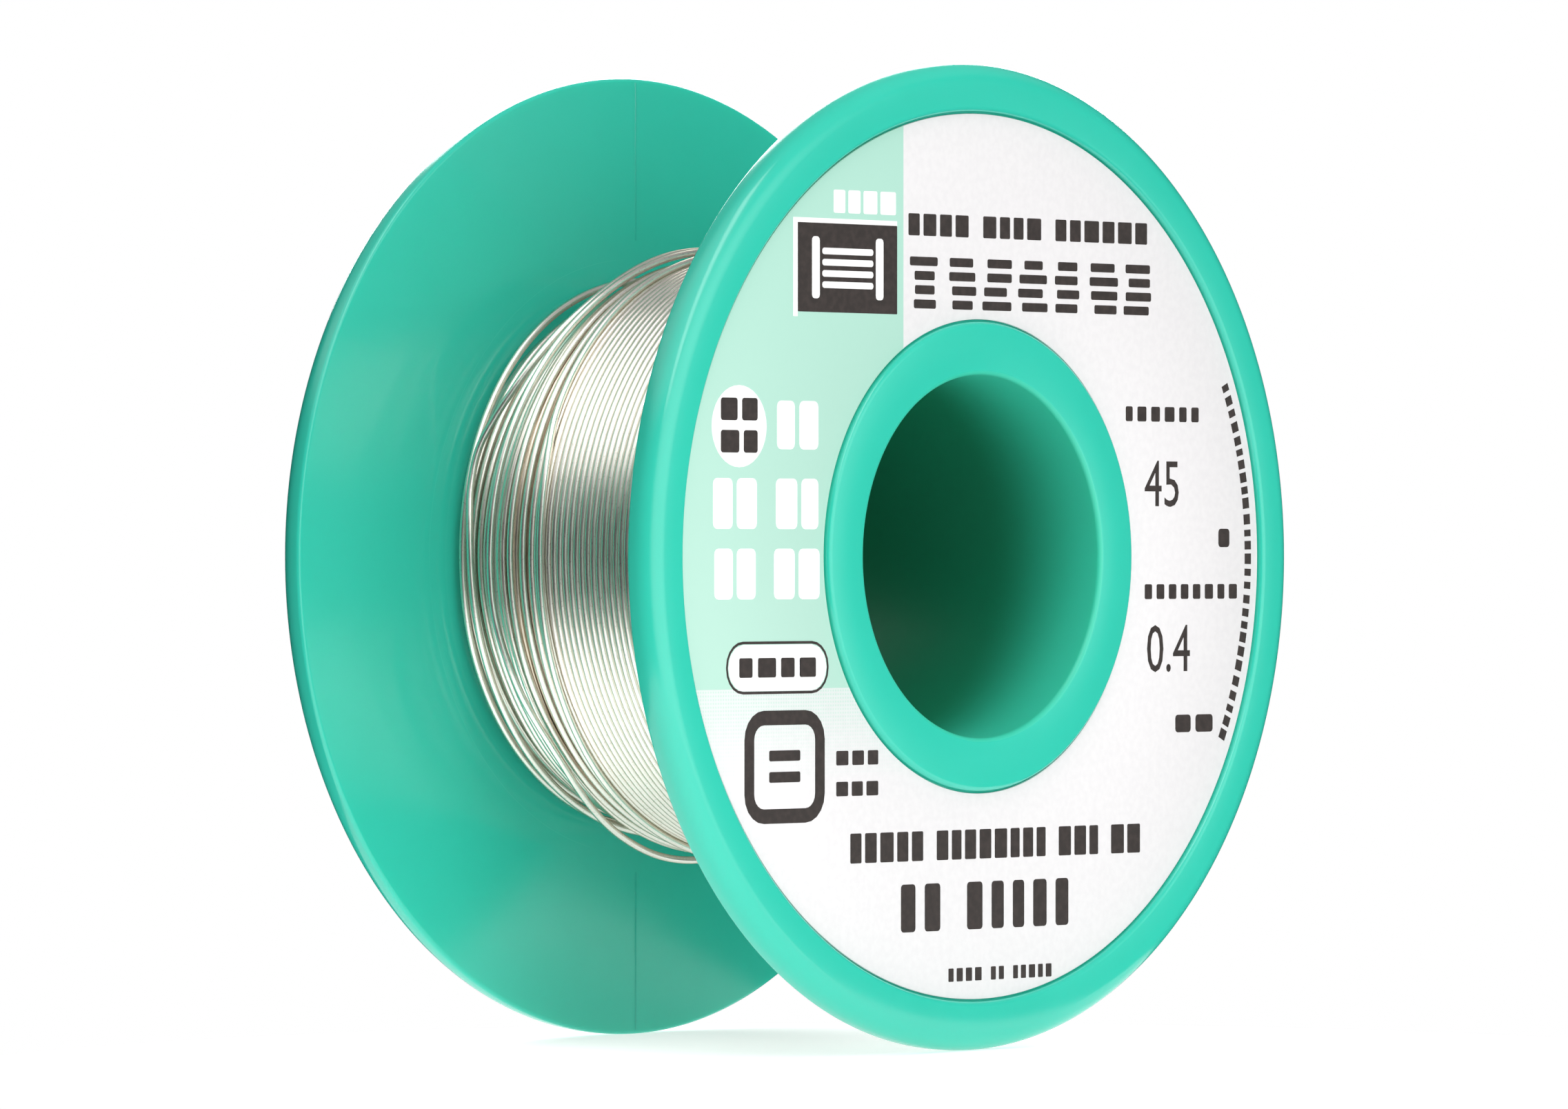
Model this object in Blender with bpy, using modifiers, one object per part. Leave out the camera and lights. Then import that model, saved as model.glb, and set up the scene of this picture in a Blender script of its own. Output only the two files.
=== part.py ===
"""Reel of solder wire: a moulded plastic reel, its two labels and the wound wire.

The reel stands on its two rims with its axis along Y, its front label towards -Y
and +Z up. The origin is the middle of the bore, halfway between the two faces.
Lengths are in metres.
"""

import math

import bpy
from mathutils import Vector

MM = 0.001

# Reel
FLANGE_R = 26.0 * MM
WIDTH = 26.6 * MM
FLANGE_T = 1.65 * MM
FACE_FILLET = 1.1 * MM
INNER_FILLET = 0.25 * MM
BORE_R = 9.55 * MM
COLLAR_R = 12.35 * MM
RIM_INNER_R = 23.4 * MM
RECESS_DEPTH = 0.45 * MM
SMALL_FILLET = 0.25 * MM
BARREL_R = 12.0 * MM

# Labels
LABEL_T = 0.15 * MM
LABEL_PLAY = 0.12 * MM

# Wire and its winding
WIRE_R = 0.2 * MM
CORE_R = 0.07 * MM
LAYERS = 11
LAYER_PITCH = 0.37 * MM
FULL_LAYERS = 6
SHOULDER_START = 5.9 * MM
SHOULDER_STEP = 0.85 * MM
END_LENGTH = 6.0 * MM
END_SEGMENTS = 12
LOOSE_TURNS = 3

# Faceting and the gaps that keep touching pieces apart
REEL_SEGMENTS = 72
LAYER_SEGMENTS = 48
GAP = 0.03 * MM
CORE_GAP = 0.01 * MM
POINT_PITCH = 1.7 * MM

HALF_WIDTH = WIDTH / 2
INNER_FACE = HALF_WIDTH - FLANGE_T

# Middle line of the loose outer turns, free end last: degrees round the axis from
# -X over the top, place along the axis behind the middle, and radius, in millimetres
LOOSE_ROUTE = (
    (-190, 7.70, 15.72), (-150, 7.50, 15.90), (-90, 7.00, 16.42), (-65, 6.40, 16.45),
    (-42, 5.70, 16.40), (-25, 6.40, 16.40), (-12, 7.10, 16.20), (0, 7.30, 16.05),
    (20, 7.15, 16.10), (42, 6.45, 16.35), (62, 5.90, 16.42), (90, 5.70, 16.44),
    (110, 6.10, 16.36), (125, 6.65, 16.08), (140, 7.25, 15.88), (155, 7.80, 15.70),
    (180, 8.70, 15.42), (220, 9.30, 15.10), (270, 9.50, 15.05), (330, 9.50, 15.10),
    (360, 9.60, 15.15), (374, 10.00, 15.15), (382, 9.85, 15.35), (388, 9.10, 15.65),
    (396, 7.95, 16.05), (407, 6.95, 16.30), (422, 6.45, 16.32), (450, 6.60, 16.50),
    (485, 7.05, 16.48), (510, 7.60, 16.38), (525, 8.05, 16.20), (545, 9.00, 15.85),
    (565, 9.85, 15.60), (590, 10.35, 15.15), (630, 10.65, 14.70), (690, 10.75, 14.62),
    (720, 10.65, 14.65), (750, 10.72, 14.80), (775, 10.75, 14.95), (800, 10.72, 14.95),
    (835, 10.65, 14.85),
)


def clear_scene():
    for item in list(bpy.data.objects):
        bpy.data.objects.remove(item, do_unlink=True)


def make_collection(name):
    group = bpy.data.collections.new(name)
    bpy.context.scene.collection.children.link(group)
    return group


def make_material(name, colour, roughness, metallic):
    material = bpy.data.materials.new(name)
    material.use_nodes = True
    shader = material.node_tree.nodes["Principled BSDF"]
    shader.inputs["Base Color"].default_value = (*colour, 1.0)
    shader.inputs["Roughness"].default_value = roughness
    shader.inputs["Metallic"].default_value = metallic
    return material


def make_axis(name, group, parent=None):
    """Empty on the reel's axis, its own Z pointing out of the front face."""
    axis = bpy.data.objects.new(name, None)
    group.objects.link(axis)
    if parent is None:
        axis.rotation_euler = (math.pi / 2, 0, 0)
    else:
        axis.parent = parent
    return axis


def fillet(centre_r, centre_z, radius, start_deg, end_deg, steps=3):
    """Points of an arc in the (radius, height) plane."""
    points = []
    for i in range(steps + 1):
        angle = math.radians(start_deg + (end_deg - start_deg) * i / steps)
        points.append((centre_r + radius * math.cos(angle), centre_z + radius * math.sin(angle)))
    return points


def turned(name, profile, segments, material, group, axis):
    """Ring turned from a closed (radius, height) profile that runs down its outer side.

    The facets, not their corners, lie at the profile's radii, and one facet faces
    each of +X, -X, up and down.
    """
    grow = 1 / math.cos(math.pi / segments)
    turn = math.pi / segments
    corners = [
        (r * grow * math.cos(turn), r * grow * math.sin(turn), height) for r, height in profile
    ]
    edges = [(i, (i + 1) % len(corners)) for i in range(len(corners))]
    mesh = bpy.data.meshes.new(name)
    mesh.from_pydata(corners, edges, [])
    item = bpy.data.objects.new(name, mesh)
    group.objects.link(item)
    item.parent = axis
    screw = item.modifiers.new("turn", "SCREW")
    screw.steps = segments
    screw.render_steps = segments
    screw.use_merge_vertices = True
    screw.merge_threshold = 0.000001
    screw.use_smooth_shade = False
    mesh.materials.append(material)
    return item


def flange_profile():
    """Half section of the front flange with its rim, label recess and hub collar."""
    face = HALF_WIDTH
    floor = HALF_WIDTH - RECESS_DEPTH
    small = SMALL_FILLET
    edge = FACE_FILLET
    inner = INNER_FILLET
    return [
        *fillet(BORE_R + small, face - small, small, 180, 90, 2),
        *fillet(COLLAR_R - small, face - small, small, 90, 0, 2),
        (COLLAR_R, floor),
        (RIM_INNER_R, floor),
        *fillet(RIM_INNER_R + small, face - small, small, 180, 90, 2),
        *fillet(FLANGE_R - edge, face - edge, edge, 90, 0, 4),
        *fillet(FLANGE_R - inner, INNER_FACE + inner, inner, 0, -90, 2),
        (BORE_R, INNER_FACE),
    ]


def mirrored(profile):
    """The same section at the other end of the axis, still running down its outer side."""
    return [(r, -height) for r, height in reversed(profile)]


def sleeve_profile(inner_r, outer_r, low, high):
    return [(inner_r, high), (outer_r, high), (outer_r, low), (inner_r, low)]


def label_profile():
    floor = HALF_WIDTH - RECESS_DEPTH + GAP
    return sleeve_profile(COLLAR_R + LABEL_PLAY, RIM_INNER_R - LABEL_PLAY, floor, floor + LABEL_T)


def layer_rear(index):
    """How far back a wire layer reaches: the outer layers stop short of the rear flange."""
    if index < FULL_LAYERS:
        return INNER_FACE - GAP
    return SHOULDER_START + (LAYERS - 1 - index) * SHOULDER_STEP


def layer_profile(index):
    inner_r = BARREL_R + GAP + index * LAYER_PITCH
    outer_r = inner_r + LAYER_PITCH - GAP
    return sleeve_profile(inner_r, outer_r, -layer_rear(index), INNER_FACE - GAP)


def smooth_route(route, count):
    """Evenly spaced points along a Catmull-Rom curve through the route's points."""
    spans = len(route) - 1
    points = []
    for i in range(count):
        place = i * spans / (count - 1)
        k = min(int(place), spans - 1)
        t = place - k
        before = route[max(k - 1, 0)]
        after = route[min(k + 2, spans)]
        step = []
        for p0, p1, p2, p3 in zip(before, route[k], route[k + 1], after):
            bend = 2 * p0 - 5 * p1 + 4 * p2 - p3
            twist = 3 * p1 - p0 - 3 * p2 + p3
            step.append(p1 + 0.5 * t * (p2 - p0 + t * (bend + t * twist)))
        points.append(step)
    return points


def on_reel(degrees, behind, radius):
    """Point in the axis empty's frame, from millimetres round and along the reel."""
    angle = math.radians(degrees)
    return (-radius * MM * math.cos(angle), radius * MM * math.sin(angle), -behind * MM)


def spread(points, pitch):
    """Points at even distances of about the pitch along a line."""
    lengths = [0.0]
    for a, b in zip(points, points[1:]):
        lengths.append(lengths[-1] + math.dist(a, b))
    count = round(lengths[-1] / pitch)
    result = []
    k = 0
    for i in range(count + 1):
        goal = lengths[-1] * i / count
        while k < len(points) - 2 and lengths[k + 1] < goal:
            k += 1
        t = (goal - lengths[k]) / (lengths[k + 1] - lengths[k])
        result.append(tuple(a + (b - a) * t for a, b in zip(points[k], points[k + 1])))
    return result


def wire(name, points, radius, material, group, axis):
    curve = bpy.data.curves.new(name, "CURVE")
    curve.dimensions = "3D"
    curve.bevel_depth = radius
    curve.bevel_resolution = 2
    curve.use_fill_caps = True
    curve.render_resolution_u = 0
    spline = curve.splines.new("POLY")
    spline.points.add(len(points) - 1)
    for point, place in zip(spline.points, points):
        point.co = (*place, 1.0)
    curve.materials.append(material)
    item = bpy.data.objects.new(name, curve)
    group.objects.link(item)
    item.parent = axis
    return item


def shortened(points, amount):
    """The same line with its last point drawn back along the last step."""
    a, b = points[-2], points[-1]
    keep = 1 - amount / math.dist(a, b)
    return [*points[:-1], tuple(p + (q - p) * keep for p, q in zip(a, b))]


def build_reel(group, axis):
    plastic = make_material("reel_plastic", (0.035, 0.55, 0.42), 0.3, 0.0)
    front = flange_profile()
    turned("front_flange", front, REEL_SEGMENTS, plastic, group, axis)
    turned("rear_flange", mirrored(front), REEL_SEGMENTS, plastic, group, axis)
    end = INNER_FACE - GAP
    tube = sleeve_profile(BORE_R, BARREL_R, -end, end)
    turned("barrel", tube, REEL_SEGMENTS, plastic, group, axis)


def build_labels(group, axis):
    paper = make_material("label_paper", (0.86, 0.93, 0.89), 0.45, 0.0)
    front = label_profile()
    turned("front_label", front, REEL_SEGMENTS, paper, group, axis)
    turned("rear_label", mirrored(front), REEL_SEGMENTS, paper, group, axis)


def build_winding(group, axis, solder):
    for index in range(LAYERS):
        name = f"wire_layer_{index + 1:02d}"
        turned(name, layer_profile(index), LAYER_SEGMENTS, solder, group, axis)


def build_free_end(line, group, axis, solder):
    """Straight cut end of the wire, with its core of flux, running on from a line's end."""
    flux = make_material("flux", (0.62, 0.38, 0.10), 0.35, 0.0)
    start = Vector(line[-1])
    heading = (start - Vector(line[-2])).normalized()
    end_axis = make_axis("free_end_axis", group, axis)
    end_axis.location = start + heading * GAP
    end_axis.rotation_mode = "QUATERNION"
    end_axis.rotation_quaternion = heading.to_track_quat("Z", "Y")
    tube = sleeve_profile(CORE_R, WIRE_R, 0, END_LENGTH)
    rod = sleeve_profile(CORE_R / 4, CORE_R - CORE_GAP, 0, END_LENGTH)
    turned("wire_free_end", tube, END_SEGMENTS, solder, group, end_axis)
    turned("flux_core", rod, END_SEGMENTS, flux, group, end_axis)


def build_loose_turns(group, axis, solder):
    """Outer turns that stand off the winding, cut where one turn passes to the next."""
    route = [on_reel(*point) for point in smooth_route(LOOSE_ROUTE, 20 * len(LOOSE_ROUTE))]
    points = spread(route, POINT_PITCH)
    per_turn = len(points) // LOOSE_TURNS
    for index in range(LOOSE_TURNS):
        first = index * per_turn
        last = len(points) - 1 if index == LOOSE_TURNS - 1 else first + per_turn
        line = shortened(points[first:last + 1], GAP)
        wire(f"loose_turn_{index + 1}", line, WIRE_R, solder, group, axis)
    build_free_end(points, group, axis, solder)


def main():
    clear_scene()
    group = make_collection("solder_wire_reel")
    reel_axis = make_axis("reel_axis", group)
    loose_axis = make_axis("loose_turns_axis", group, reel_axis)
    solder = make_material("solder", (0.80, 0.79, 0.76), 0.2, 1.0)
    build_reel(group, reel_axis)
    build_labels(group, reel_axis)
    build_winding(group, reel_axis, solder)
    build_loose_turns(group, loose_axis, solder)


main()
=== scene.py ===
"""Looks of the solder wire reel: smooth moulding, printed labels and the wound wire.

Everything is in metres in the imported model's frame: the reel's axis is Y, the front
label faces -Y and +Z is up. The wire's angles round the axis run from -X over the top.
"""

import math
import random
from collections import namedtuple

import bmesh
import bpy
import numpy as np
from mathutils import Matrix, Vector


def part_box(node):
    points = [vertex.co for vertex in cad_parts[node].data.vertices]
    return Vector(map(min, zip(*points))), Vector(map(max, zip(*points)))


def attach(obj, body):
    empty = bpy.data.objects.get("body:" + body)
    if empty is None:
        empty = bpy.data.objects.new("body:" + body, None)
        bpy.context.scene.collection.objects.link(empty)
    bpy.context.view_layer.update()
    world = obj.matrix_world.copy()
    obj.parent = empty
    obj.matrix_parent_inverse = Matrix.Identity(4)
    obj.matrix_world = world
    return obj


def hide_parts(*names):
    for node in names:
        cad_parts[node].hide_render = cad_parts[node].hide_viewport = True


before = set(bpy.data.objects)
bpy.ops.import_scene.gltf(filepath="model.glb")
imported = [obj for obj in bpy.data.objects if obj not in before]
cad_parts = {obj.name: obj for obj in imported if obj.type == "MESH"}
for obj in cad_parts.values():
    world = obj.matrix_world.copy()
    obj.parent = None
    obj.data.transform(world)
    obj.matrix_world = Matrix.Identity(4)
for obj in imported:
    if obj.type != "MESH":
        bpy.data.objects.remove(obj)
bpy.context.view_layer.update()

MM = 0.001

# Sizes read from the frame
FLANGE_LOW, FLANGE_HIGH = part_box("front_flange")
LABEL_LOW, LABEL_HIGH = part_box("front_label")
FLANGE_R = FLANGE_HIGH[2]
HALF_WIDTH = -FLANGE_LOW[1]
INNER_FACE = -FLANGE_HIGH[1]
BARREL_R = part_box("barrel")[1][2]
LABEL_FACE = -LABEL_LOW[1]
LABEL_BACK = -LABEL_HIGH[1]
LABEL_R = LABEL_HIGH[2]

# Reel details that the frame's boxes don't give
BORE_R = 9.55 * MM
COLLAR_R = 12.35 * MM
RIM_INNER_R = 23.4 * MM
RECESS_FLOOR = HALF_WIDTH - 0.45 * MM
FACE_FILLET = 1.1 * MM
INNER_FILLET = 0.22 * MM
SMALL_FILLET = 0.28 * MM
ROOT_FILLET = 0.2 * MM
RECESS_FILLET = 0.08 * MM
LABEL_INNER_R = 12.47 * MM
LABEL_FILLET = 0.03 * MM
REEL_SEGMENTS = 256

# The parting line's flash on a flange's inner face
FLASH_START_R = 17.2 * MM
FLASH_HEIGHT = 0.035 * MM
FLASH_HALF_WIDTH = 0.06 * MM
FLASH_CREST = 0.4
FLASH_SWAY = 0.012 * MM
FLASH_STEPS = 40

# Wire
WIRE_R = 0.2 * MM
CORE_R = 0.07 * MM
STEPS_A_TURN = 110
WIRE_SIDES = 12

# The CAD's wound layers: the inner ones keep their plain sleeves, the outer ones become wire
INNER_LAYERS = range(1, 6)
OUTER_LAYERS = range(6, 12)

# The loose outer turns, as in the CAD: degrees, millimetres behind the middle, radius
LOOSE_ROUTE = (
    (-190, 7.70, 15.72), (-150, 7.50, 15.90), (-90, 7.00, 16.42), (-65, 6.40, 16.45),
    (-42, 5.70, 16.40), (-25, 6.40, 16.40), (-12, 7.10, 16.20), (0, 7.30, 16.05),
    (20, 7.15, 16.10), (42, 6.45, 16.35), (62, 5.90, 16.42), (90, 5.70, 16.44),
    (110, 6.10, 16.36), (125, 6.65, 16.08), (140, 7.25, 15.88), (155, 7.80, 15.70),
    (180, 8.70, 15.42), (220, 9.30, 15.10), (270, 9.50, 15.05), (330, 9.50, 15.10),
    (360, 9.60, 15.15), (374, 10.00, 15.15), (382, 9.85, 15.35), (388, 9.10, 15.65),
    (396, 7.95, 16.05), (407, 6.95, 16.30), (422, 6.45, 16.32), (450, 6.60, 16.50),
    (485, 7.05, 16.48), (510, 7.60, 16.38), (525, 8.05, 16.20), (545, 9.00, 15.85),
    (565, 9.85, 15.60), (590, 10.35, 15.15), (630, 10.65, 14.70), (690, 10.75, 14.62),
    (720, 10.65, 14.65), (750, 10.72, 14.80), (775, 10.75, 14.95), (800, 10.72, 14.95),
    (835, 10.65, 14.85),
)
LOOSE_STEP = 0.35 * MM

# The tight turns, in millimetres: spacing, the first one's gap to the flange, where they end
TIGHT_PITCH = 0.402
FIRST_GAP = 0.21
TIGHT_END = 5.0

# The seated turns past the tight ones: millimetres behind the middle on the far side, and bow
BOWED_TURNS = (
    (5.39, 0.15), (5.80, 0.85), (6.22, 0.95), (6.64, 1.05), (7.06, 1.15), (7.60, 1.20),
    (8.60, 0.70), (9.40, 0.55), (10.20, 0.25), (10.90, 0.37),
)
BOW_DEGREES = 38
LAST_GAP = 0.22

# Slow sways of the turns along the axis: millimetres and waves a radian
LOOSE_SWAY = (0.045, 2.31)
TIGHT_SWAY = (0.006, 5.3)
BENEATH_SWAY = (0.03, 3.3)

# The layer below the loose turns, in millimetres
BENEATH_PITCH = 0.43
BENEATH_START = TIGHT_END - 0.6
BENEATH_GAP = 0.25
BENEATH_DROP = 0.36

# The turn that rides up on the tight ones: degrees, millimetres behind the middle, radius
RIDGE_ROUTE = (
    (-170, 3.20, 15.60), (-140, 3.45, 16.05), (-100, 3.60, 16.24), (-64, 3.66, 16.24),
    (-47, 3.70, 16.24), (-25, 3.60, 16.23), (0, 3.52, 16.23), (12, 3.60, 16.23),
    (20, 3.78, 16.24), (28, 4.05, 16.24), (44, 4.15, 16.24), (67, 4.18, 16.24),
    (100, 4.10, 16.22), (140, 3.90, 16.05), (170, 3.75, 15.60),
)
ROUTE_POINTS_A_STEP = 30

# The wire's cut end
END_LENGTH = 6.0 * MM
END_SEGMENTS = 24
END_FILLET = 0.03 * MM
FLUX_R = CORE_R * 0.95
FLUX_INNER_R = CORE_R * 0.1

# Camera, from the photographed view
VIEW_DIRECTION = Vector((0.747, 0.665, 0.0))
CAMERA_PLACE = Vector((-0.3592, -0.31895, 0.0001))
LENS = 205.8
SENSOR = 36.0

# Stage
FLOOR_R = 50 * MM
FLOOR_MIDDLE = (-20 * MM, -25 * MM)
FLOOR_SIDES = 96
FLOOR_GLOW = (1.15, 0.6)
FLOOR_GLOW_SPAN = (-20 * MM, 12 * MM)

# The light tent's levels, and the spans over which they change: of a direction's height,
# and of how far it points along the side or front heading
TENT_DARK = 0.03
TENT_TOP = 1.5
TENT_RISE = (0.39, 0.58)
TENT_SIDE = (-0.98, -0.2)
TENT_SIDE_SPAN = (0.0, 0.4)
TENT_BACK = 0.2
TENT_FRONT = (0.0, -1.0)
TENT_FRONT_SPAN = (0.62, 0.95)
TENT_FRONT_LEVEL = 2.1

# Softboxes, aimed at the reel's middle: place, size in metres, watts
SOFTBOXES = {
    "softbox_strip": ((-0.186, -0.260, 0.383), (0.12, 0.5), 0.7),
    "softbox_back": ((0.36, 0.40, 0.30), (0.4, 0.4), 3.4),
}

# Colours, most of them in pairs that a noise mixes
PLASTIC_TONES = ((0.037, 0.552, 0.414), (0.039, 0.560, 0.422))
FLECK_TONE = (0.30, 0.85, 0.72)
PALE_RING_TONE = (0.10, 0.72, 0.56)
# Painted shade in the bore: the first tone deep inside, the second at its mouths
BORE_SHADE_TONES = ((0.009, 0.220, 0.115), (0.042, 0.580, 0.400))
WIRE_TONES = ((0.95, 0.915, 0.845), (0.91, 0.875, 0.80))
# Painted shade: a darker, browner copy of the wire's tones for the layer seen between the loose turns
PAINTED_SHADE_WIRE_TONES = ((0.74, 0.68, 0.57), (0.63, 0.57, 0.46))
OXIDE_TONE = (0.40, 0.37, 0.31)
WIRE_EDGE_TINT = (0.68, 0.49, 0.38, 1.0)
FLUX_TONES = ((0.52, 0.27, 0.05), (0.70, 0.42, 0.11))
STOCK_TONES = ((0.750, 0.735, 0.742), (0.780, 0.765, 0.770))
MINT_TONES = ((0.44, 0.69, 0.585), (0.40, 0.675, 0.565))
BLACK_TONES = ((0.045, 0.035, 0.032), (0.030, 0.024, 0.022))
WHITE_TONES = ((0.93, 0.93, 0.92), (0.88, 0.88, 0.87))
FLOOR_TONES = ((0.66, 0.66, 0.66), (0.70, 0.70, 0.70))
WHITE = (1.0, 1.0, 1.0, 1.0)


# --- small tools ---------------------------------------------------------------------

def add_object(name, mesh, material, body):
    """Piece from a mesh, riding on a body."""
    mesh.materials.append(material)
    item = bpy.data.objects.new(name, mesh)
    bpy.context.scene.collection.objects.link(item)
    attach(item, body)
    return item


def finish_mesh(name, build, sharp_degrees=35):
    """Turns a bmesh into a smooth mesh with its faces pointing out."""
    bmesh.ops.recalc_face_normals(build, faces=build.faces)
    mesh = bpy.data.meshes.new(name)
    build.to_mesh(mesh)
    build.free()
    mesh.shade_smooth()
    mesh.set_sharp_from_angle(angle=math.radians(sharp_degrees))
    return mesh


def arc(centre_r, centre_h, radius, start_deg, end_deg, steps):
    """Points of an arc in the (radius, height) plane."""
    points = []
    for i in range(steps + 1):
        angle = math.radians(start_deg + (end_deg - start_deg) * i / steps)
        points.append((centre_r + radius * math.cos(angle), centre_h + radius * math.sin(angle)))
    return points


def mirrored(profile):
    """The same section at the other end of the axis."""
    return [(r, -h) for r, h in reversed(profile)]


def turned(name, profile, segments):
    """Closed (radius, height) profile turned round the reel's axis; height is towards the front."""
    build = bmesh.new()
    rings = []
    for i in range(segments):
        angle = 2 * math.pi * i / segments
        ring = [build.verts.new((r * math.cos(angle), -h, r * math.sin(angle))) for r, h in profile]
        rings.append(ring)
    count = len(profile)
    for i in range(segments):
        here, there = rings[i], rings[(i + 1) % segments]
        for k in range(count):
            after = (k + 1) % count
            build.faces.new((here[k], here[after], there[after], there[k]))
    return finish_mesh(name, build)


def on_reel(degrees, behind_mm, radius_mm):
    """Points in metres from degrees round the axis and millimetres along and out from it."""
    angle = np.radians(degrees)
    behind = np.broadcast_to(behind_mm, np.shape(angle))
    return np.stack((-radius_mm * np.cos(angle), behind, radius_mm * np.sin(angle)), -1) * MM


def wire_mesh(name, line):
    """Round wire along a line that goes round the reel's axis."""
    sides = WIRE_SIDES
    ahead = np.gradient(line, axis=0)
    ahead /= np.linalg.norm(ahead, axis=1, keepdims=True)
    out = line * (1, 0, 1)
    out -= ahead * np.sum(out * ahead, axis=1, keepdims=True)
    out /= np.linalg.norm(out, axis=1, keepdims=True)
    across = np.cross(ahead, out)
    turn = np.arange(sides) * 2 * math.pi / sides
    ring = out[:, None] * np.cos(turn)[None, :, None] + across[:, None] * np.sin(turn)[None, :, None]
    corners = (line[:, None] + WIRE_R * ring).reshape(-1, 3)
    row = np.arange(len(line) - 1)[:, None] * sides
    side = np.arange(sides)[None, :]
    after = (side + 1) % sides
    quads = np.stack((row + side, row + after, row + after + sides, row + side + sides), -1)
    faces = [tuple(quad) for quad in quads.reshape(-1, 4).tolist()]
    faces.append(tuple(reversed(range(sides))))
    last = (len(line) - 1) * sides
    faces.append(tuple(range(last, last + sides)))
    mesh = bpy.data.meshes.new(name)
    mesh.from_pydata(corners.tolist(), [], faces)
    build = bmesh.new()
    build.from_mesh(mesh)
    bpy.data.meshes.remove(mesh)
    return finish_mesh(name, build, sharp_degrees=60)


# --- node materials ------------------------------------------------------------------

# A surface point's coordinates in metres, each of them, and its distance from the reel's axis
Place = namedtuple("Place", "point x y z radius")


class Nodes:
    """Short names for the shader nodes of a new material or world, its owner."""

    def __init__(self, name, world=False):
        self.owner = (bpy.data.worlds if world else bpy.data.materials).new(name)
        self.owner.use_nodes = True
        self.tree = self.owner.node_tree
        self.shader = self.tree.nodes["Background" if world else "Principled BSDF"]

    def add(self, kind, **values):
        """New node; each value is a property's or an input's."""
        node = self.tree.nodes.new("ShaderNode" + kind)
        for key, value in values.items():
            if hasattr(node, key):
                setattr(node, key, value)
            else:
                node.inputs[key.replace("_", " ")].default_value = value
        return node

    def link(self, source, target):
        self.tree.links.new(source, target)

    def feed(self, target, value):
        """Links a socket to the target, or sets a plain value on it."""
        if hasattr(value, "links"):
            self.link(value, target)
        else:
            target.default_value = value

    def math(self, operation, first, second=0.0):
        node = self.add("Math", operation=operation)
        for socket, value in zip(node.inputs, (first, second)):
            self.feed(socket, value)
        return node.outputs[0]

    def span(self, value, low, high, start=0.0, end=1.0):
        """Maps low..high to start..end, clamped and smooth."""
        node = self.add("MapRange", interpolation_type="SMOOTHSTEP")
        for socket, number in zip(node.inputs, (value, low, high, start, end)):
            self.feed(socket, number)
        return node.outputs[0]

    def mix(self, amount, first, second):
        node = self.add("Mix", data_type="RGBA")
        self.feed(node.inputs[0], amount)
        for socket, value in zip(node.inputs[6:8], (first, second)):
            self.feed(socket, value if hasattr(value, "links") else (*value, 1.0))
        return node.outputs[2]

    def place(self):
        """The shaded point, in its object's coordinates."""
        point = self.add("TexCoord").outputs["Object"]
        x, y, z = self.split(point)
        squares = self.math("ADD", self.math("MULTIPLY", x, x), self.math("MULTIPLY", z, z))
        return Place(point, x, y, z, self.math("SQRT", squares))

    def split(self, vector):
        """A vector's three components."""
        node = self.add("SeparateXYZ")
        self.link(vector, node.inputs[0])
        return tuple(node.outputs)

    def along(self, vector, heading):
        """How far a vector's x and y components go along a level heading."""
        parts = [self.math("MULTIPLY", *pair) for pair in zip(vector, heading)]
        return self.math("ADD", *parts)

    def noise(self, coordinates, scale, detail=3.0):
        node = self.add("TexNoise", Scale=scale, Detail=detail)
        self.link(coordinates, node.inputs["Vector"])
        return node.outputs["Fac"]

    def bump(self, height, strength, distance):
        node = self.add("Bump", Strength=strength, Distance=distance)
        self.link(height, node.inputs["Height"])
        self.link(node.outputs["Normal"], self.shader.inputs["Normal"])

    def set(self, **values):
        """Values or links for the shader's inputs."""
        for key, value in values.items():
            self.feed(self.shader.inputs[key.replace("_", " ")], value)


def ring_mark(n, radius, middle, width):
    """1 on a circle of that radius round the axis, falling to 0 at half the width away."""
    away = n.math("ABSOLUTE", n.math("SUBTRACT", radius, middle))
    return n.span(away, 0.0, width / 2, 1.0, 0.0)


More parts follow.
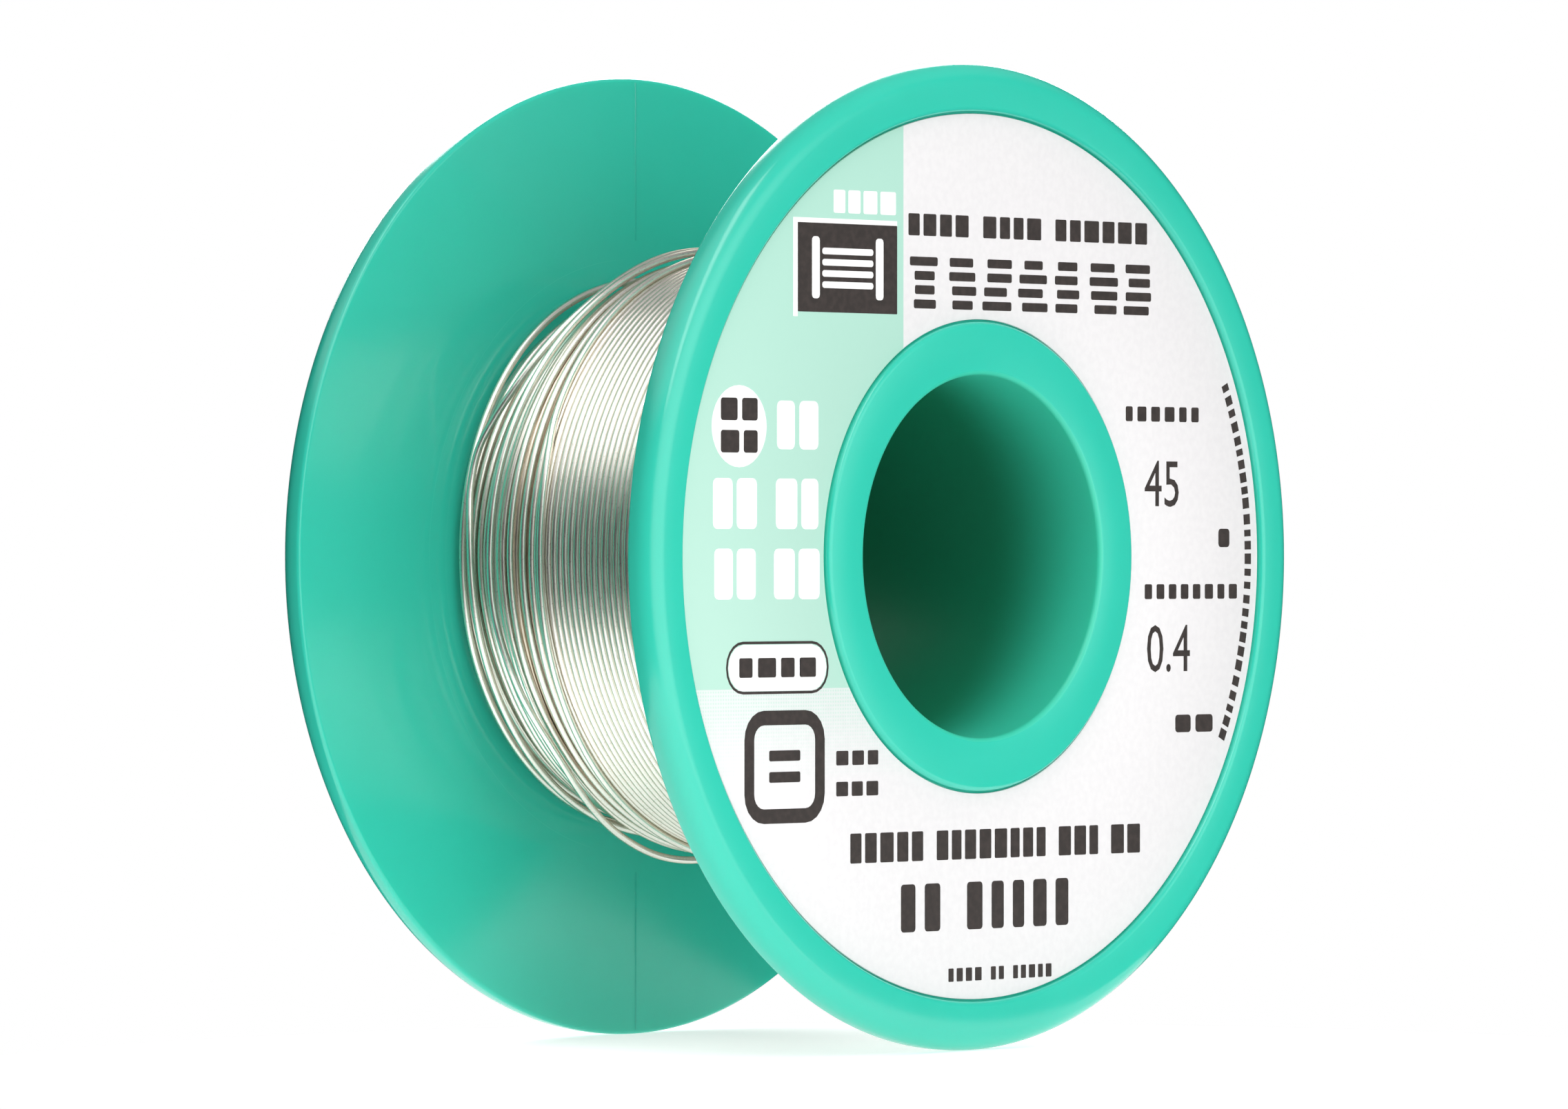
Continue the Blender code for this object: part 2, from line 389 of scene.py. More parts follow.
def plastic_material():
    """Teal moulded plastic: a little translucent, with flecks, fine pale rings and a dull bore that has
    painted shade deep inside.
    """
    n = Nodes("moulded_plastic")
    at = n.place()
    behind = n.math("ABSOLUTE", at.y)
    cloud = n.noise(at.point, 180.0)
    tone = n.mix(n.span(cloud, 0.35, 0.65), *PLASTIC_TONES)
    # Pale flecks: the middles of some of the cells
    cells = n.add("TexVoronoi", feature="F1", Scale=420.0)
    n.link(at.point, cells.inputs["Vector"])
    picks = n.noise(at.point, 95.0, 1.0)
    small = n.span(cells.outputs["Distance"], 0.02, 0.05, 1.0, 0.0)
    fleck = n.math("MULTIPLY", small, n.span(picks, 0.63, 0.68))
    tone = n.mix(n.math("MULTIPLY", fleck, 0.6), tone, FLECK_TONE)
    # Pale circles on the flanges' inner faces: a fine broken one and a faint wide one
    fine = ring_mark(n, at.radius, 16.15 * MM, 0.06 * MM)
    wide = ring_mark(n, at.radius, 14.9 * MM, 0.22 * MM)
    broken_ring = n.math("MULTIPLY", fine, n.span(picks, 0.40, 0.50))
    marks = n.math("MAXIMUM", broken_ring, n.math("MULTIPLY", wide, 0.25))
    inside = n.span(behind, INNER_FACE + 0.03 * MM, INNER_FACE - 0.03 * MM)
    tone = n.mix(n.math("MULTIPLY", n.math("MULTIPLY", marks, inside), 0.55), tone, PALE_RING_TONE)
    # The bore is duller, and has painted shade: darker towards its middle, away from its mouths
    bore = n.span(at.radius, BORE_R + 0.1 * MM, BORE_R + 0.3 * MM, 1.0, 0.0)
    tone = n.mix(bore, tone, n.mix(n.span(behind, 5.5 * MM, 13.0 * MM), *BORE_SHADE_TONES))
    streaks = n.noise(at.point, 900.0, 4.0)
    rough = n.math("ADD", n.span(streaks, 0.3, 0.7, 0.15, 0.18), n.math("MULTIPLY", bore, 0.3))
    n.set(Base_Color=tone, Roughness=rough, IOR=1.5)
    n.set(Subsurface_Weight=0.25, Subsurface_Scale=1.2 * MM, Subsurface_Radius=(0.25, 1.0, 0.8))
    n.bump(n.noise(at.point, 1400.0, 2.0), 0.015, 0.05 * MM)
    return n.owner


def solder_material(name, light, dark):
    """Bright drawn tin alloy with fine lengthwise draw marks and specks of oxide."""
    n = Nodes(name)
    at = n.place()
    stretch = n.add("CombineXYZ")
    angle = n.math("ARCTAN2", at.z, at.x)
    n.link(n.math("MULTIPLY", angle, 0.6 * MM), stretch.inputs[0])
    n.link(at.y, stretch.inputs[1])
    n.link(at.radius, stretch.inputs[2])
    lines = n.noise(stretch.outputs[0], 16000.0, 2.0)
    cloud = n.noise(at.point, 700.0)
    specks = n.noise(at.point, 9000.0, 2.0)
    tone = n.mix(n.span(cloud, 0.3, 0.7), light, dark)
    tone = n.mix(n.span(specks, 0.60, 0.72, 0.0, 0.35), tone, OXIDE_TONE)
    rough = n.span(lines, 0.3, 0.7, 0.28, 0.36)
    n.set(Base_Color=tone, Metallic=1.0, Roughness=rough, Specular_Tint=WIRE_EDGE_TINT)
    n.bump(n.math("ADD", lines, n.math("MULTIPLY", specks, 0.7)), 0.16, 0.01 * MM)
    return n.owner


def flux_material():
    """Amber rosin, glassy at the cut."""
    n = Nodes("rosin_flux")
    cloud = n.noise(n.place().point, 6000.0)
    n.set(Base_Color=n.mix(n.span(cloud, 0.3, 0.7), *FLUX_TONES), Roughness=0.22)
    n.bump(cloud, 0.2, 0.01 * MM)
    return n.owner


def paper_nodes(name):
    """Coated label stock: faint fibre in the surface under a satin film."""
    n = Nodes(name)
    at = n.place()
    fibre = n.noise(at.point, 2600.0, 4.0)
    n.set(Roughness=n.span(fibre, 0.3, 0.7, 0.56, 0.66), IOR=1.4)
    n.bump(fibre, 0.05, 0.02 * MM)
    return n, at, fibre


def mint_cover(n, at):
    """How much mint is printed: a solid panel that fades out downwards in a fine screen."""
    panel = n.span(at.x, PANEL_EDGE - PRINT_BLUR, PANEL_EDGE + PRINT_BLUR, 1.0, 0.0)
    dots = n.add("TexVoronoi", feature="F1", Scale=5200.0, Randomness=0.0)
    n.link(at.point, dots.inputs["Vector"])
    screen = n.span(dots.outputs["Distance"], 0.30, 0.45, 0.75, 0.25)
    solid = n.span(at.z, SCREEN_TOP - PRINT_BLUR, SCREEN_TOP + PRINT_BLUR)
    half = n.math("MULTIPLY", screen, n.span(at.z, SCREEN_END, SCREEN_TOP, 0.15, 0.9))
    cover = n.math("MAXIMUM", solid, half)
    below = n.span(at.z, SCREEN_END - 0.5 * MM, SCREEN_END)
    return n.math("MULTIPLY", n.math("MULTIPLY", cover, panel), below)


def label_material(name, tinted):
    """White stock, with the mint panel if it is tinted."""
    n, at, fibre = paper_nodes(name)
    tone = n.mix(n.span(fibre, 0.3, 0.7), *STOCK_TONES)
    if tinted:
        mint = n.mix(n.span(at.z, -8 * MM, 22 * MM), *MINT_TONES)
        tone = n.mix(mint_cover(n, at), tone, mint)
    n.set(Base_Color=tone)
    return n.owner


def ink_material(name, light, dark):
    """Printed ink that lets a little of the stock's fibre through."""
    n, _, fibre = paper_nodes(name)
    n.set(Base_Color=n.mix(n.span(fibre, 0.35, 0.7), dark, light))
    return n.owner


def floor_material():
    """Pale paper that glows like the bottom of a light tent, less towards the right."""
    n = Nodes("pale_floor")
    at = n.place()
    n.set(Base_Color=n.mix(n.noise(at.point, 40.0), *FLOOR_TONES), Roughness=0.9)
    n.set(Emission_Color=WHITE, Emission_Strength=n.span(at.x, *FLOOR_GLOW_SPAN, *FLOOR_GLOW))
    return n.owner


# --- the moulded reel ----------------------------------------------------------------

def reel_end():
    """Half section of the reel's front end, from the barrel's middle round to the bore's."""
    face = HALF_WIDTH
    small = SMALL_FILLET
    edge = FACE_FILLET
    inner = INNER_FILLET
    root = ROOT_FILLET
    recess = RECESS_FILLET
    floor = RECESS_FLOOR
    return [
        *arc(BORE_R + small, face - small, small, 180, 90, 4),
        *arc(COLLAR_R - small, face - small, small, 90, 0, 4),
        *arc(COLLAR_R + recess, floor + recess, recess, 180, 270, 2),
        *arc(RIM_INNER_R - recess, floor + recess, recess, 270, 360, 2),
        *arc(RIM_INNER_R + small, face - small, small, 180, 90, 5),
        *arc(FLANGE_R - edge, face - edge, edge, 90, 0, 12),
        *arc(FLANGE_R - inner, INNER_FACE + inner, inner, 0, -90, 5),
        *arc(BARREL_R + root, INNER_FACE - root, root, 90, 180, 4),
    ]


def build_reel(plastic):
    front = reel_end()
    mesh = turned("moulded_reel", front + mirrored(front), REEL_SEGMENTS)
    reel = add_object("moulded_reel", mesh, plastic, "reel")
    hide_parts("front_flange", "rear_flange", "barrel")
    for side, name in ((1, "rear"), (-1, "front")):
        for up, where in ((1, "top"), (-1, "bottom")):
            build_parting_line(f"parting_line_{name}_{where}", side, up, plastic)


def build_parting_line(name, side, up, plastic):
    """Witness of the split side cores: a hair of flash up the flange's inner face."""
    top = FLANGE_R - INNER_FILLET
    half = FLASH_HALF_WIDTH
    crest = half * FLASH_CREST
    foot = -FLASH_HEIGHT
    build = bmesh.new()
    rows = []
    rng = random.Random(name)
    for i in range(FLASH_STEPS + 1):
        height = up * (FLASH_START_R + (top - FLASH_START_R) * i / FLASH_STEPS)
        shift = rng.uniform(-FLASH_SWAY, FLASH_SWAY)
        lift = FLASH_HEIGHT * rng.uniform(0.75, 1.1)
        section = ((-half, foot), (-crest, lift), (crest, lift), (half, foot))
        rows.append([
            build.verts.new((across + shift, side * (INNER_FACE - rise), height))
            for across, rise in section
        ])
    for here, there in zip(rows, rows[1:]):
        for k in range(4):
            after = (k + 1) % 4
            build.faces.new((here[k], here[after], there[after], there[k]))
    build.faces.new(rows[0])
    build.faces.new(rows[-1])
    mesh = finish_mesh(name, build, sharp_degrees=80)
    add_object(name, mesh, plastic, "reel")


# --- labels and their print ----------------------------------------------------------

# The mint panel's right-hand edge, and where its screen starts and ends
PANEL_EDGE = -6.2 * MM
SCREEN_TOP = -6.8 * MM
SCREEN_END = -11.0 * MM
PRINT_BLUR = 0.03 * MM
INK_T = 0.006 * MM

# The space between words as a part of a letter; the bars that stand for intricate lettering:
# gap and ragged ends as parts of a cell, rows in the line's height, bar's height
WORD_SPACE = 0.55
STROKE_GAP = 0.15
STROKE_RAG = 0.18
STROKE_ROWS = 3.7
STROKE_HEIGHT = 0.17

# Lines of blocks in place of words, in millimetres: left, bottom, width, height, letters,
# gap between letters as a part of a letter, corner, seed
FRONT_WORDS = (
    (-5.8, 16.75, 19.6, 1.15, "aaaa aaaa aaaaaa", 0.28, 0.08, 3),
    (-19.0, -6.2, 5.9, 1.0, "aaaa", 0.35, 0.1, 8),
    (-11.5, -10.8, 3.3, 0.75, "aaa", 0.3, 0.08, 9),
    (-11.5, -12.4, 3.3, 0.75, "aaa", 0.3, 0.08, 10),
    (-10.4, -15.9, 23.6, 1.55, "aaaaa aaaaaaaa aaa aa", 0.3, 0.08, 11),
    (-6.4, -19.6, 13.6, 2.5, "aa aaaaa", 0.6, 0.2, 12),
    (-2.6, -22.3, 8.4, 0.7, "aaaa aa aaaaa", 0.5, 0.05, 13),
    (12.0, 7.25, 6.2, 0.8, "aaaaaa", 0.55, 0.1, 14),
    (19.9, 0.5, 0.95, 1.0, "a", 0.4, 0.2, 15),
    (13.6, -2.3, 7.9, 0.8, "aaaaaaaa", 0.55, 0.1, 16),
    (16.2, -9.5, 3.2, 0.95, "aa", 0.3, 0.2, 17),
)
FRONT_WHITE_WORDS = (
    (-11.7, 17.75, 4.9, 1.2, "aaaa", 0.2, 0.1, 31),
    (-16.1, 5.5, 3.2, 2.5, "aa", 0.2, 0.3, 32),
    (-21.0, 1.4, 8.1, 2.6, "aa aa", 0.2, 0.3, 33),
    (-20.9, -2.2, 8.1, 2.6, "aa aa", 0.2, 0.3, 34),
)
BADGE_WORDS = (
    (-20.4, 6.95, 2.8, 1.15, "aa", 0.25, 0.15, 41),
    (-20.4, 5.3, 2.8, 1.15, "aa", 0.25, 0.15, 42),
    (-19.0, -6.2, 5.9, 1.0, "aaaa", 0.35, 0.1, 43),
)
REAR_WORDS = (
    (-8.6, 18.2, 17.2, 1.4, "aaaaaa aaaaaa", 0.3, 0.1, 51),
    (-6.9, 15.4, 13.8, 0.9, "aaaa aaa aaaaaa", 0.3, 0.08, 52),
    (-19.8, -2.2, 5.0, 0.7, "aaa aaaa", 0.3, 0.06, 53),
    (-19.8, -0.8, 5.0, 0.7, "aaa aaaa", 0.3, 0.06, 54),
    (-19.8, 0.6, 5.0, 0.7, "aaa aaaa", 0.3, 0.06, 55),
    (-19.8, 2.0, 5.0, 0.7, "aaa aaaa", 0.3, 0.06, 56),
    (14.0, -4.0, 6.6, 0.8, "aaaaaaaaaa", 0.4, 0.08, 61),
    (-8.6, -16.6, 17.2, 1.1, "aaaaa aaaa aaaaaaa", 0.3, 0.08, 62),
    (-7.0, -18.7, 14.0, 1.1, "aaaaaaa aaaaa", 0.3, 0.08, 63),
    (-4.4, -20.8, 8.8, 0.8, "aaaa aaaaa", 0.3, 0.08, 64),
)

# Plain blocks, in millimetres: left, bottom, width, height, corner
FRONT_BLOCKS = (
    (-14.5, 12.6, 7.8, 4.6, 0.05),
    (-16.7, -11.6, 2.4, 0.55, 0.1),
    (-16.7, -10.5, 2.4, 0.55, 0.1),
)
FRONT_WHITE_BLOCKS = (
    (-14.85, 12.35, 0.35, 5.1, 0.02),
    (-14.5, 17.2, 7.8, 0.25, 0.02),
    (-19.83, -6.88, 7.56, 2.36, 1.15),
)
REEL_SIGN_BLOCKS = (
    (-13.4, 13.3, 0.6, 3.2, 0.2),
    (-8.4, 13.3, 0.6, 3.2, 0.2),
    (-12.6, 13.85, 4.0, 0.34, 0.15),
    (-12.6, 14.43, 4.0, 0.34, 0.15),
    (-12.6, 15.01, 4.0, 0.34, 0.15),
    (-12.6, 15.59, 4.0, 0.34, 0.15),
)

# Strokes along the label's right-hand edge: radius and width in millimetres, degrees
EDGE_STROKES = (22.45, 0.55)
EDGE_STROKES_SPAN = (24.5, -26.0)

# Bars in place of a bar code on the rear label, in millimetres: left, end, bottom, height
CODE_BARS = (14.0, 20.6, -2.6, 5.2)


class Print:
    """Flat ink shapes on a label, gathered in one mesh; x and z are in millimetres.

    side is 1 for the front label and -1 for the rear one; level 2 lies on level 1.
    """

    def __init__(self, side, level=1):
        self.build = bmesh.new()
        self.low = LABEL_FACE + (level - 1) * 2 * INK_T
        self.side = side

    def shape(self, outline):
        """Closed outline, as a thin solid on the label's face."""
        rings = []
        for height in (self.low - INK_T, self.low + INK_T):
            rings.append([
                self.build.verts.new((self.side * x * MM, -self.side * height, z * MM))
                for x, z in outline
            ])
        back, front = rings
        count = len(outline)
        for k in range(count):
            after = (k + 1) % count
            self.build.faces.new((back[k], back[after], front[after], front[k]))
        self.build.faces.new(back)
        self.build.faces.new(front)

    def block(self, left, bottom, width, height, corner, steps=3):
        """Rectangle with round corners."""
        corner = min(corner, width / 2.02, height / 2.02)
        outline = []
        centres = (
            (left + width - corner, bottom + height - corner, 0),
            (left + corner, bottom + height - corner, 90),
            (left + corner, bottom + corner, 180),
            (left + width - corner, bottom + corner, 270),
        )
        for x, z, start in centres:
            outline += arc(x, z, corner, start, start + 90, steps)
        self.shape(outline)

    def blocks(self, rows):
        for row in rows:
            self.block(*row)

    def words(self, rows):
        """Lines of plain blocks in place of words, as wide as the letters they stand for."""
        for left, bottom, width, height, letters, gap, corner, seed in rows:
            rng = random.Random(seed)
            sizes = [0 if letter == " " else rng.uniform(0.75, 1.15) for letter in letters]
            spaces = WORD_SPACE * sizes.count(0)
            unit = width / (sum(sizes) + gap * (len(sizes) - 1) + spaces)
            x = left
            for size in sizes:
                if size == 0:
                    x += WORD_SPACE * unit
                else:
                    self.block(x, bottom, size * unit, height, corner)
                    x += size * unit
                x += gap * unit

    def strokes(self, left, bottom, width, height, cells, seed):
        """A line of cells of four plain bars each, in place of large and intricate lettering."""
        rng = random.Random(seed)
        pitch = width / (cells - STROKE_GAP)
        for cell in range(cells):
            for row in range(4):
                inset = rng.uniform(0.0, STROKE_RAG) * pitch
                length = (1 - STROKE_GAP) * pitch - inset - rng.uniform(0.0, STROKE_RAG) * pitch
                x = left + cell * pitch + inset
                z = bottom + row * height / STROKE_ROWS
                self.block(x, z, length, height * STROKE_HEIGHT, 0.1)

    def frame(self, left, bottom, width, height, corner, line):
        """Outline of a round-cornered rectangle, in two halves."""
        middle_x = left + width / 2
        middle_z = bottom + height / 2
        half = width / 2
        corners = ((half - corner, height / 2 - corner, 0), (corner - half, height / 2 - corner, 90))
        for flip in (1, -1):
            outer = [(half, 0)]
            inner = [(half - line, 0)]
            for x, z, start in corners:
                outer += arc(x, z, corner, start, start + 90, 5)
                inner += arc(x, z, max(corner - line, 0.02), start, start + 90, 5)
            outer.append((-half, 0))
            inner.append((line - half, 0))
            self.shape([(middle_x + x, middle_z + flip * z) for x, z in outer + inner[::-1]])

    def disc(self, x, z, radius):
        self.shape(arc(x, z, radius, 0, 350, 35))

    def sector(self, radius, width, start, end):
        """Short stroke along a circle round the axis."""
        outer = arc(0, 0, radius + width / 2, start, end, 3)
        inner = arc(0, 0, radius - width / 2, end, start, 3)
        self.shape(outer + inner)

    def number(self, text, left, bottom, height, squeeze):
        """Plain numerals from Blender's own font."""
        curve = bpy.data.curves.new("numerals", "FONT")
        curve.body = text
        curve.size = 1.0
        curve.resolution_u = 3
        item = bpy.data.objects.new("numerals", curve)
        bpy.context.scene.collection.objects.link(item)
        mesh = bpy.data.meshes.new_from_object(item.evaluated_get(bpy.context.evaluated_depsgraph_get()))
        bpy.data.objects.remove(item, do_unlink=True)
        bpy.data.curves.remove(curve)
        flat = bmesh.new()
        flat.from_mesh(mesh)
        bpy.data.meshes.remove(mesh)
        tall = max(vert.co.y for vert in flat.verts)
        first = min(vert.co.x for vert in flat.verts)
        scale = height / tall
        for vert in flat.verts:
            x = left + (vert.co.x - first) * scale * squeeze
            z = bottom + vert.co.y * scale
            vert.co = (self.side * x * MM, -self.side * (self.low - INK_T), z * MM)
        bmesh.ops.remove_doubles(flat, verts=flat.verts, dist=0.0005 * MM)
        grown = bmesh.ops.extrude_face_region(flat, geom=flat.faces[:])
        lifted = [part for part in grown["geom"] if isinstance(part, bmesh.types.BMVert)]
        for vert in lifted:
            vert.co.y -= self.side * 2 * INK_T
        copy = bpy.data.meshes.new("numerals")
        flat.to_mesh(copy)
        flat.free()
        self.build.from_mesh(copy)
        bpy.data.meshes.remove(copy)

    def done(self, name, material):
        """Makes the piece from the shapes so far."""
        mesh = finish_mesh(name, self.build, sharp_degrees=30)
        add_object(name, mesh, material, "reel")


def label_ring(name, side, material):
    """The label itself, a flat ring with its edges broken."""
    edge = LABEL_FILLET
    profile = [
        (LABEL_INNER_R, LABEL_BACK),
        *arc(LABEL_INNER_R + edge, LABEL_FACE - edge, edge, 180, 90, 2),
        *arc(LABEL_R - edge, LABEL_FACE - edge, edge, 90, 0, 2),
        (LABEL_R, LABEL_BACK),
    ]
    if side < 0:
        profile = mirrored(profile)
    mesh = turned(name, profile, REEL_SEGMENTS)
    return add_object(name, mesh, material, "reel")


def build_front_label(black, white):
    label = label_ring("printed_front_label", 1, label_material("front_label_stock", True))
    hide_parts("front_label")

    dark = Print(1)
    dark.blocks(FRONT_BLOCKS)
    dark.words(FRONT_WORDS)
    dark.strokes(-5.7, 12.95, 20.0, 2.75, cells=7, seed=5)
    dark.frame(-20.0, -7.05, 7.9, 2.7, corner=1.3, line=0.14)
    dark.frame(-18.6, -13.7, 6.2, 5.8, corner=1.5, line=0.75)
    dark.number("45", 13.6, 2.7, height=2.45, squeeze=0.88)
    dark.number("0.4", 13.8, -6.2, height=2.5, squeeze=0.87)
    rng = random.Random(21)
    angle, last = EDGE_STROKES_SPAN
    while angle > last:
        length = rng.uniform(0.9, 1.5)
        dark.sector(*EDGE_STROKES, angle, angle - length)
        angle -= length + rng.uniform(0.5, 0.9)
    dark.done("front_print_dark", black)

    pale = Print(1)
    pale.words(FRONT_WHITE_WORDS)
    pale.blocks(FRONT_WHITE_BLOCKS)
    pale.disc(-19.0, 6.65, 2.1)
    pale.done("front_print_white", white)

    badge = Print(1, 2)
    badge.words(BADGE_WORDS)
    badge.done("front_print_badge_marks", black)

    sign = Print(1, 2)
    sign.blocks(REEL_SIGN_BLOCKS)
    sign.done("front_print_reel_sign", white)


def build_rear_label(black):
    """The rear label is a guess: lines, a framed table and a row of bars."""
    label = label_ring("printed_rear_label", -1, label_material("rear_label_stock", False))
    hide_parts("rear_label")
    dark = Print(-1)
    dark.words(REAR_WORDS)
    dark.frame(-20.6, -3.2, 6.6, 6.4, corner=0.6, line=0.2)
    rng = random.Random(60)
    x, end, bottom, height = CODE_BARS
    while x < end:
        bar = rng.choice((0.15, 0.15, 0.3, 0.45))
        dark.block(x, bottom, bar, height, corner=0.02, steps=1)
        x += bar + rng.choice((0.18, 0.18, 0.34))
    dark.done("rear_print_dark", black)


# --- the wire ------------------------------------------------------------------------

def top_of_winding(behind_mm):
    """Radius of the winding's top at a place along the axis, in millimetres."""
    rears, tops = [], []
    for index in reversed(OUTER_LAYERS):
        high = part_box(f"wire_layer_{index:02d}")[1]
        rears.append(high[1] / MM)
        tops.append(high[2] / MM)
    return np.interp(behind_mm, rears, tops)


def seated_turns():
    """Where each turn lies on its far side, and how far it bows back on its -X side."""
    tight = np.arange(-INNER_FACE / MM + FIRST_GAP, TIGHT_END, TIGHT_PITCH)
    bowed = np.array(BOWED_TURNS)
    places = np.concatenate((tight, bowed[:, 0]))
    bows = np.concatenate((np.zeros(len(tight)), bowed[:, 1]))
    return places, bows


def helix(count):
    """Turn numbers and degrees along a helix whose turns start on the far side."""
    turns = np.arange((count - 1) * STEPS_A_TURN + 1) / STEPS_A_TURN
    return turns, 180 + 360 * turns


def sway(degrees, size_and_waves):
    """Slow wave along the axis, in millimetres."""
    size, waves = size_and_waves
    return size * np.sin(waves * np.radians(degrees))


def outer_turns_line():
    """One wire, turn after turn, tight at the front and bowing back where it is loose."""
    places, bows = seated_turns()
    turns, degrees = helix(len(places))
    number = np.arange(len(places))
    side = np.mod(360 * turns, 360) - 180
    bow = np.interp(turns, number, bows) * np.exp(-(side / BOW_DEGREES) ** 2)
    behind = np.interp(turns, number, places) + bow
    loose = np.clip((behind - TIGHT_END) / 2, 0, 1)
    behind = behind + loose * sway(degrees, LOOSE_SWAY) + sway(degrees, TIGHT_SWAY)
    behind = np.minimum(behind, INNER_FACE / MM - LAST_GAP)
    return on_reel(degrees, behind, top_of_winding(behind) - WIRE_R / MM)


def beneath_line():
    """The layer below, wound the other way, which shows between the loose turns."""
    places = np.arange(BENEATH_START, INNER_FACE / MM - BENEATH_GAP, BENEATH_PITCH)[::-1]
    turns, degrees = helix(len(places))
    behind = np.interp(turns, np.arange(len(places)), places) + sway(degrees, BENEATH_SWAY)
    return on_reel(degrees, behind, top_of_winding(behind) - WIRE_R / MM - BENEATH_DROP)


def build_winding(solder, painted_shade_solder):
    pieces = (
        ("wound_turns", outer_turns_line(), solder),
        ("turns_beneath", beneath_line(), painted_shade_solder),
        ("ridge_turn", route_line(RIDGE_ROUTE), solder),
    )
    for name, line, material in pieces:
        mesh = wire_mesh(name, line)
        add_object(name, mesh, material, "reel")
    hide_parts(*(f"wire_layer_{index:02d}" for index in OUTER_LAYERS))


def smooth_route(route, count):
    """Points along a Catmull-Rom curve through the route's points."""
    route = np.array(route, float)
    spans = len(route) - 1
    place = np.linspace(0, spans, count)
    k = np.minimum(place.astype(int), spans - 1)
    t = (place - k)[:, None]
    p0, p1 = route[np.maximum(k - 1, 0)], route[k]
    p2, p3 = route[k + 1], route[np.minimum(k + 2, spans)]
    bend = 2 * p0 - 5 * p1 + 4 * p2 - p3
    twist = 3 * p1 - p0 - 3 * p2 + p3
    return p1 + 0.5 * t * (p2 - p0 + t * (bend + t * twist))


def spread(line, step):
    """The same line with its points at even distances."""
    lengths = np.concatenate(([0], np.cumsum(np.linalg.norm(np.diff(line, axis=0), axis=1))))
    goals = np.linspace(0, lengths[-1], round(lengths[-1] / step) + 1)
    return np.stack([np.interp(goals, lengths, line[:, axis]) for axis in range(3)], -1)


def route_line(route):
    """Middle line of a wire that follows a route of degrees, places and radii."""
    degrees, behind, radius = smooth_route(route, ROUTE_POINTS_A_STEP * len(route)).T
    return spread(on_reel(degrees, behind, radius), LOOSE_STEP)


def build_free_end(line, solder, flux):
    """Cut end of the wire: a tube of alloy with its edges broken, and flux inside."""
    heading = Vector(line[-1] - line[-4]).normalized()
    turn = heading.to_track_quat("Y", "Z").to_matrix().to_4x4()
    place = Matrix.Translation(Vector(line[-1])) @ turn
    edge = END_FILLET
    tube = [
        (CORE_R, 0.0), (CORE_R, -END_LENGTH), (CORE_R + edge, -END_LENGTH),
        (WIRE_R - edge, -END_LENGTH), (WIRE_R, -END_LENGTH + edge), (WIRE_R, 0.0),
    ]
    rod = [
        (FLUX_INNER_R, 0.0), (FLUX_INNER_R, -END_LENGTH + edge),
        (FLUX_R, -END_LENGTH + edge), (FLUX_R, 0.0),
    ]
    pieces = (
        ("cut_wire_end", tube, solder, "solder", "wire_free_end"),
        ("flux_in_wire", rod, flux, "flux", "flux_core"),
    )
    for name, profile, material, slot, node in pieces:
        mesh = turned(name, profile, END_SEGMENTS)
        mesh.transform(place)
        item = add_object(name, mesh, material, "loose_turns")
        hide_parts(node)


def build_loose_turns(solder, flux):
    line = route_line(LOOSE_ROUTE)
    mesh = wire_mesh("loose_outer_turns", line)
    loose = add_object("loose_outer_turns", mesh, solder, "loose_turns")
    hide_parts("loose_turn_1", "loose_turn_2", "loose_turn_3")
    build_free_end(line, solder, flux)


# --- stage ---------------------------------------------------------------------------

def build_floor():
    """A small round floor under the reel."""
    build = bmesh.new()
    corners = []
    for i in range(FLOOR_SIDES):
        angle = 2 * math.pi * i / FLOOR_SIDES
        corners.append(build.verts.new((FLOOR_R * math.cos(angle), FLOOR_R * math.sin(angle), 0)))
    build.faces.new(corners)
    mesh = bpy.data.meshes.new("floor")
    build.to_mesh(mesh)
    build.free()
    mesh.materials.append(floor_material())
    floor = bpy.data.objects.new("floor", mesh)
    floor.location = (*FLOOR_MIDDLE, -FLANGE_R)
    bpy.context.scene.collection.objects.link(floor)


def add_softbox(name, place, size, power):
    light = bpy.data.lights.new(name, "AREA")
    light.shape = "RECTANGLE"
    light.size, light.size_y = size
    light.energy = power
    item = bpy.data.objects.new(name, light)
    item.location = place
    item.rotation_euler = (-Vector(place)).to_track_quat("-Z", "Y").to_euler()
    bpy.context.scene.collection.objects.link(item)


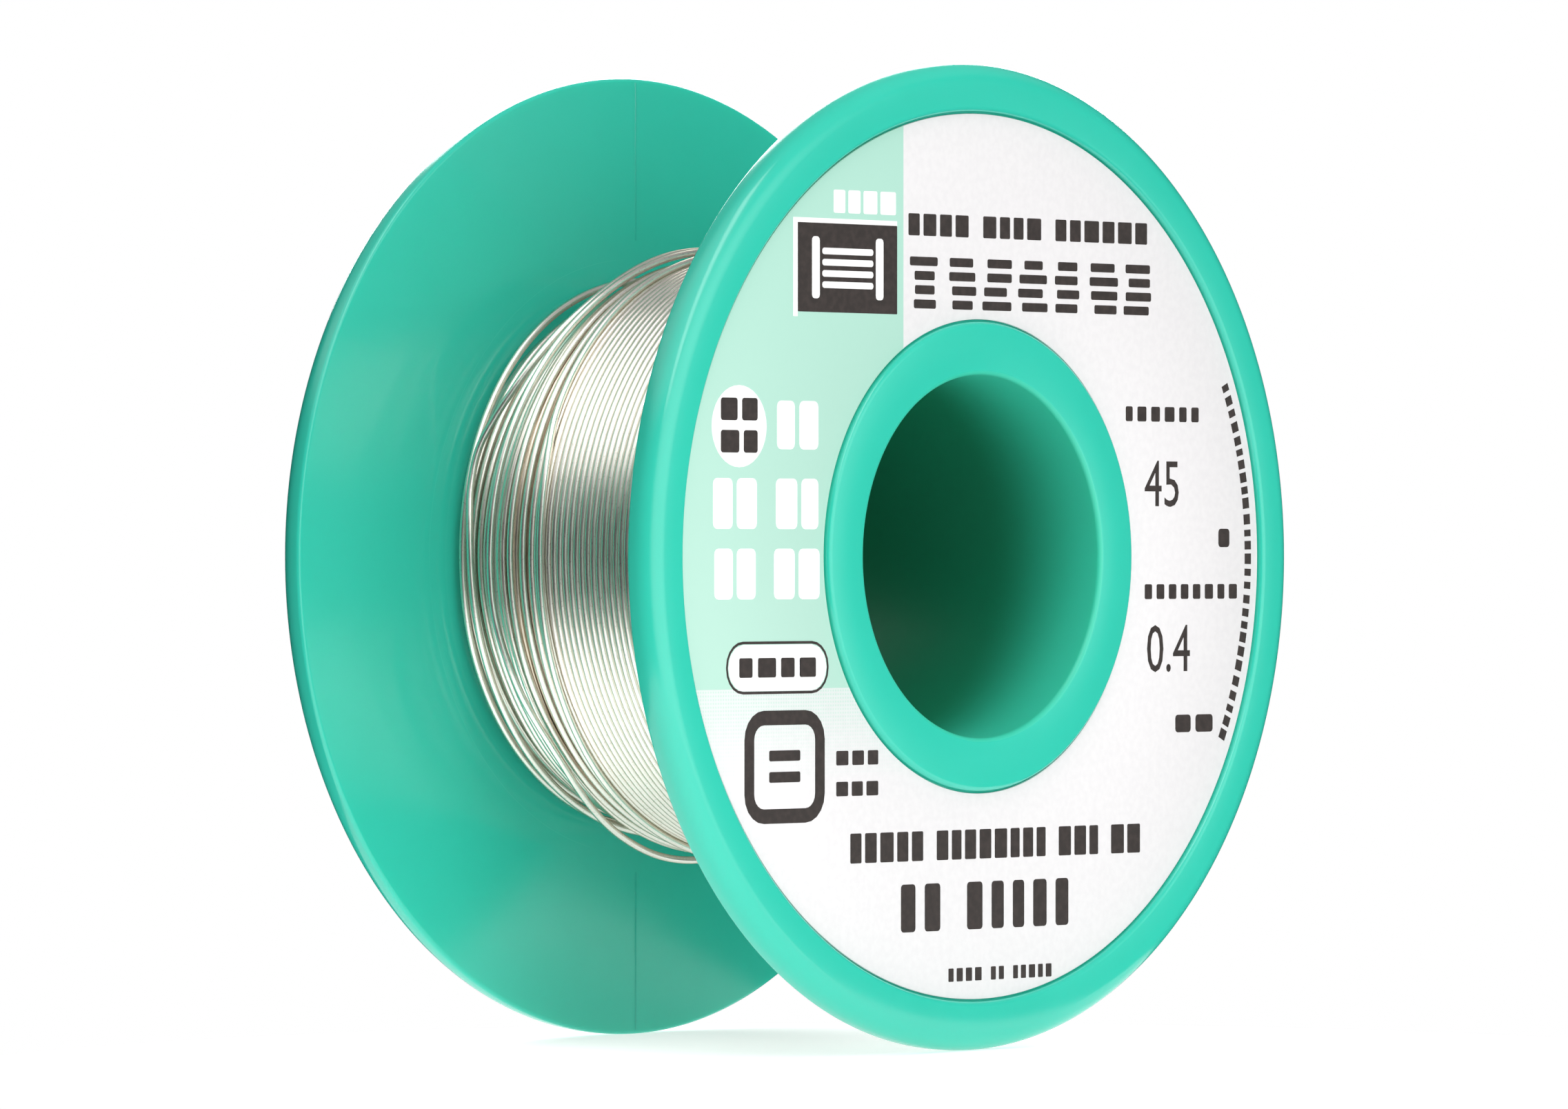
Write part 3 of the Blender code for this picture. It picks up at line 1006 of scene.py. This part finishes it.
def build_lights():
    """A light tent and two softboxes.

    The tent is bright high up on the left and straight in front, dark round the
    horizon, and plain white where the camera sees it.
    """
    n = Nodes("studio", world=True)
    bpy.context.scene.world = n.owner
    direction = n.split(n.add("TexCoord").outputs["Generated"])
    above = n.span(direction[2], *TENT_RISE, TENT_DARK, TENT_TOP)
    left = n.along(direction, TENT_SIDE)
    above = n.math("MULTIPLY", above, n.span(left, *TENT_SIDE_SPAN, TENT_BACK, 1.0))
    front = n.along(direction, TENT_FRONT)
    level = n.math("MAXIMUM", above, n.span(front, *TENT_FRONT_SPAN, 0.0, TENT_FRONT_LEVEL))
    n.set(Color=WHITE, Strength=level)
    white = n.add("Background", Color=WHITE)
    choice = n.add("MixShader")
    n.link(n.add("LightPath").outputs["Is Camera Ray"], choice.inputs[0])
    n.link(n.shader.outputs[0], choice.inputs[1])
    n.link(white.outputs[0], choice.inputs[2])
    n.link(choice.outputs[0], n.tree.nodes["World Output"].inputs["Surface"])
    for name, (place, size, power) in SOFTBOXES.items():
        add_softbox(name, place, size, power)


def build_camera():
    """The photographed view."""
    data = bpy.data.cameras.new("camera")
    data.lens = LENS
    data.sensor_width = SENSOR
    data.clip_end = 20.0
    camera = bpy.data.objects.new("camera", data)
    camera.location = CAMERA_PLACE
    camera.rotation_euler = VIEW_DIRECTION.to_track_quat("-Z", "Y").to_euler()
    bpy.context.scene.collection.objects.link(camera)
    bpy.context.scene.camera = camera


def main():
    bpy.context.scene.view_settings.view_transform = "Standard"
    build_camera()
    build_lights()
    build_floor()
    plastic = plastic_material()
    solder = solder_material("solder_wire", *WIRE_TONES)
    painted_shade_solder = solder_material("solder_painted_shade", *PAINTED_SHADE_WIRE_TONES)
    black = ink_material("black_ink", *BLACK_TONES)
    white = ink_material("white_ink", *WHITE_TONES)
    build_reel(plastic)
    build_front_label(black, white)
    build_rear_label(black)
    build_winding(solder, painted_shade_solder)
    build_loose_turns(solder, flux_material())
    for index in INNER_LAYERS:
        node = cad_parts[f"wire_layer_{index:02d}"]
        node.material_slots[0].material = solder


main()
